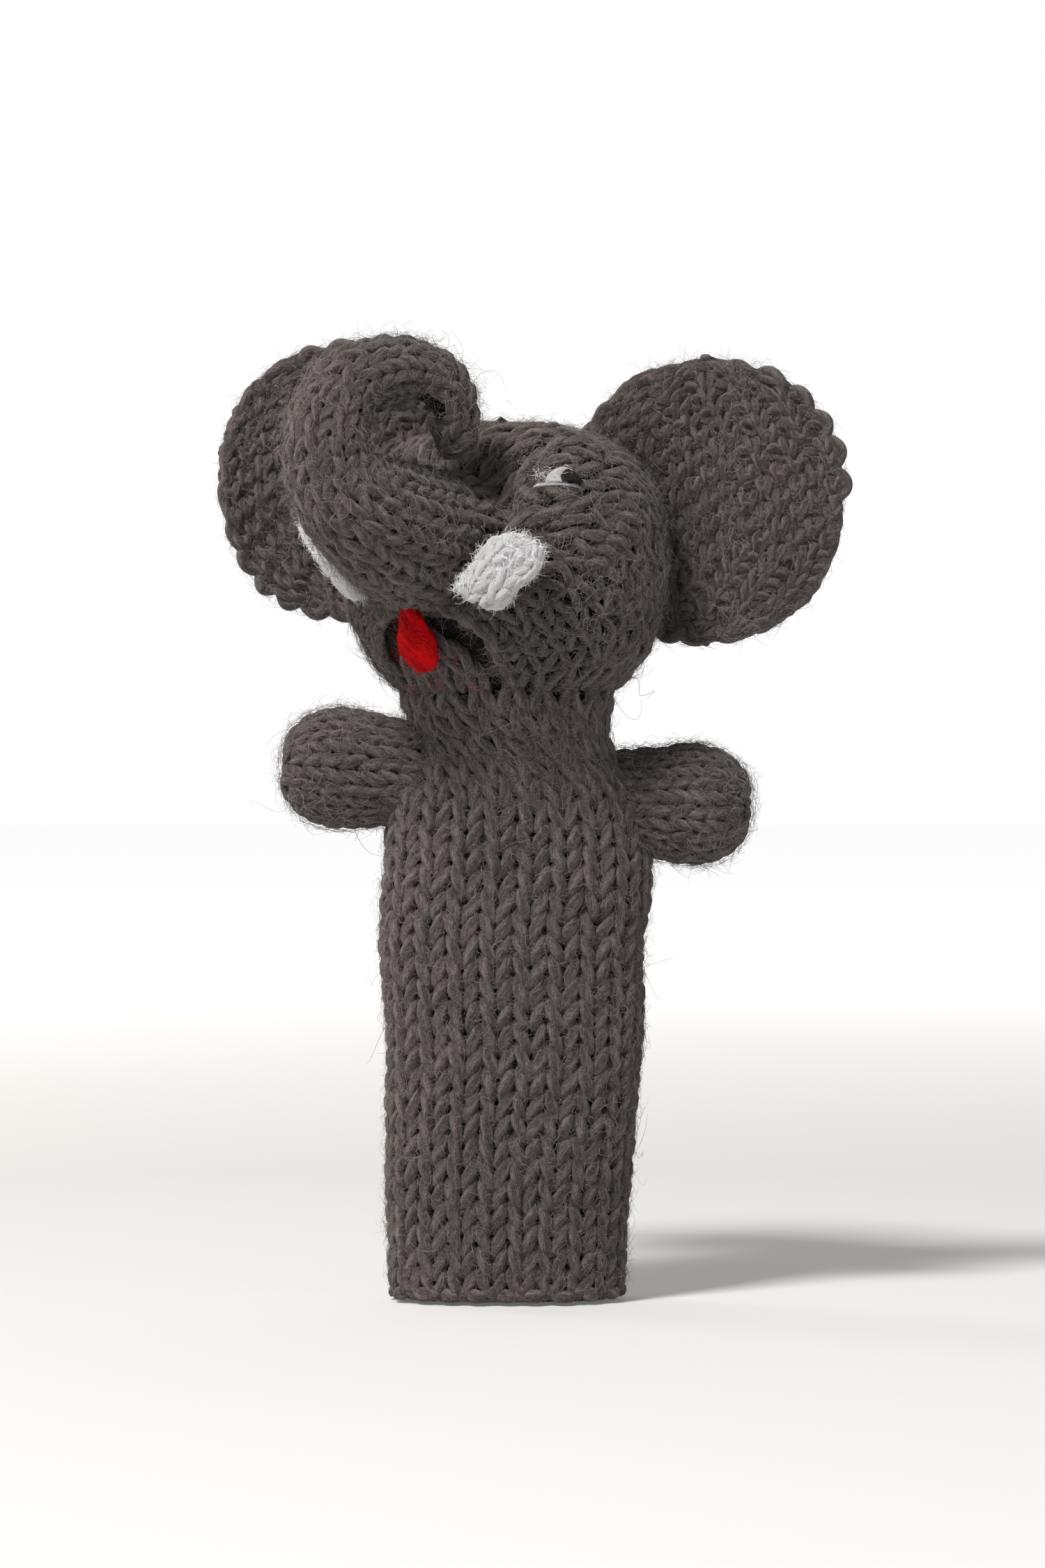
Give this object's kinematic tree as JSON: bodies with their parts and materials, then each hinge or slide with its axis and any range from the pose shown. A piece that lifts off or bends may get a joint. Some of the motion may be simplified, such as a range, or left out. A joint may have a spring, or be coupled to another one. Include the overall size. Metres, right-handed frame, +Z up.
{
  "type": "elephant finger puppet",
  "caption": "Knitted elephant finger puppet: hollow sleeve for one finger, stuffed head with curled trunk, flat ears, white tusks, red tongue and stubby arms.",
  "frame": {"origin": "centre of the sleeve's mouth, where a finger goes in, level with its cast-on edge", "axes": "+Z up the sleeve from mouth to head, -Y the front of the sleeve, +X to the right as the front is seen"},
  "size_m": [0.0787, 0.0473, 0.1183],
  "materials": {
    "body_wool": "hand-knitted stockinette in grey-brown wool, slightly fuzzy",
    "arm_wool": "hand-knitted stockinette in grey-brown wool, a denser gauge",
    "ear_wool": "hand-knitted moss stitch in grey-brown wool",
    "tusk_yarn": "white acrylic yarn, knitted and lightly felted",
    "eye_white_yarn": "white embroidery yarn, satin stitch",
    "eye_black_yarn": "black embroidery yarn, satin stitch",
    "red_felt": "red wool felt",
    "black_felt": "black felt",
    "sewing_thread": "dark sewing thread",
    "fibre_stuffing": "polyester fibre fill"
  },
  "bodies": {
    "sleeve": {"sleeve_tube": "body_wool", "cast_on_edge": "body_wool", "side_seam": "body_wool"},
    "neck_thread": {"neck_gather_thread": "sewing_thread"},
    "neck": {"neck_stuffing": "fibre_stuffing"},
    "head": {"head_shell": "body_wool", "head_stuffing": "fibre_stuffing", "mouth_lining": "black_felt", "lower_jaw": "body_wool", "left_eye_white": "eye_white_yarn", "right_eye_white": "eye_white_yarn", "left_pupil": "eye_black_yarn", "right_pupil": "eye_black_yarn", "left_ear_seam": "ear_wool", "right_ear_seam": "ear_wool"},
    "tongue": {"tongue": "red_felt"},
    "left_ear": {"left_ear": "ear_wool"},
    "right_ear": {"right_ear": "ear_wool"},
    "left_tusk": {"left_tusk": "tusk_yarn"},
    "right_tusk": {"right_tusk": "tusk_yarn"},
    "left_arm_seam": {"left_arm_stitch": "arm_wool"},
    "right_arm_seam": {"right_arm_stitch": "arm_wool"},
    "left_arm": {"left_arm": "arm_wool", "left_arm_stuffing": "fibre_stuffing"},
    "right_arm": {"right_arm": "arm_wool", "right_arm_stuffing": "fibre_stuffing"},
    "trunk_base": {"trunk_base": "body_wool", "trunk_base_stuffing": "fibre_stuffing"},
    "trunk_middle": {"trunk_middle": "body_wool", "trunk_middle_stuffing": "fibre_stuffing"},
    "trunk_tip": {"trunk_tip": "body_wool", "trunk_tip_stuffing": "fibre_stuffing"}
  },
  "joints": [
    {"name": "neck_lean", "type": "hinge", "parent": "sleeve", "child": "neck_thread", "pos_m": [0, 0, 0.07], "axis": [0, 1, 0], "range_deg": [-15, 15], "stiffness_Nm_per_rad": 0.06},
    {"name": "neck_nod", "type": "hinge", "parent": "neck_thread", "child": "neck", "pos_m": [0, 0, 0.07], "axis": [1, 0, 0], "range_deg": [-20, 25], "stiffness_Nm_per_rad": 0.06},
    {"name": "head_turn", "type": "hinge", "parent": "neck", "child": "head", "pos_m": [0, 0, 0.07], "axis": [0, 0, 1], "range_deg": [-30, 80], "stiffness_Nm_per_rad": 0.03},
    {"name": "left_arm_raise", "type": "hinge", "parent": "sleeve", "child": "left_arm_seam", "pos_m": [-0.01627, 0, 0.0636], "axis": [0, 1, 0], "range_deg": [-22, 35], "stiffness_Nm_per_rad": 0.003},
    {"name": "left_arm_swing", "type": "hinge", "parent": "left_arm_seam", "child": "left_arm", "pos_m": [-0.01627, 0, 0.0636], "axis": [0, 0, 1], "range_deg": [-25, 35], "stiffness_Nm_per_rad": 0.003},
    {"name": "right_arm_raise", "type": "hinge", "parent": "sleeve", "child": "right_arm_seam", "pos_m": [0.01697, 0, 0.061], "axis": [0, -1, 0], "range_deg": [-22, 35], "stiffness_Nm_per_rad": 0.003},
    {"name": "right_arm_swing", "type": "hinge", "parent": "right_arm_seam", "child": "right_arm", "pos_m": [0.01697, 0, 0.061], "axis": [0, 0, -1], "range_deg": [-25, 35], "stiffness_Nm_per_rad": 0.003},
    {"name": "left_ear_flap", "type": "hinge", "parent": "head", "child": "left_ear", "pos_m": [-0.01861, 0.01398, 0.09731], "axis": [0.56, 0.1364, 0.8172], "range_deg": [-12, 40], "stiffness_Nm_per_rad": 0.008},
    {"name": "right_ear_flap", "type": "hinge", "parent": "head", "child": "right_ear", "pos_m": [0.02114, -0.00012, 0.08487], "axis": [-0.0466, 0.0574, -0.9973], "range_deg": [-35, 40], "stiffness_Nm_per_rad": 0.008},
    {"name": "left_tusk_bend", "type": "hinge", "parent": "head", "child": "left_tusk", "pos_m": [-0.01989, -0.00749, 0.08479], "axis": [0.1545, -0.6903, 0.7068], "range_deg": [0, 30], "stiffness_Nm_per_rad": 0.0004},
    {"name": "right_tusk_bend", "type": "hinge", "parent": "head", "child": "right_tusk", "pos_m": [-0.00372, -0.02012, 0.08479], "axis": [0.7072, 0.0171, -0.7068], "range_deg": [0, 30], "stiffness_Nm_per_rad": 0.0004},
    {"name": "tongue_lift", "type": "hinge", "parent": "head", "child": "tongue", "pos_m": [-0.01259, -0.01481, 0.08193], "axis": [-0.788, 0.6157, 0], "range_deg": [0, 40], "stiffness_Nm_per_rad": 0.0002},
    {"name": "trunk_lift", "type": "hinge", "parent": "head", "child": "trunk_base", "pos_m": [-0.01054, -0.01219, 0.0914], "axis": [-0.788, 0.6157, 0], "range_deg": [-22, 3], "stiffness_Nm_per_rad": 0.03},
    {"name": "trunk_uncurl", "type": "hinge", "parent": "trunk_base", "child": "trunk_middle", "pos_m": [-0.02165, -0.02214, 0.10173], "axis": [0.3714, -0.9285, 0], "range_deg": [0, 34], "stiffness_Nm_per_rad": 0.01},
    {"name": "trunk_tip_uncurl", "type": "hinge", "parent": "trunk_middle", "child": "trunk_tip", "pos_m": [-0.014, -0.01908, 0.11123], "axis": [0.3714, -0.9285, 0], "range_deg": [0, 34], "stiffness_Nm_per_rad": 0.004}
  ],
  "couplings": [
    {"joint": "trunk_tip_uncurl", "follows": "trunk_uncurl", "ratio": 1}
  ]
}
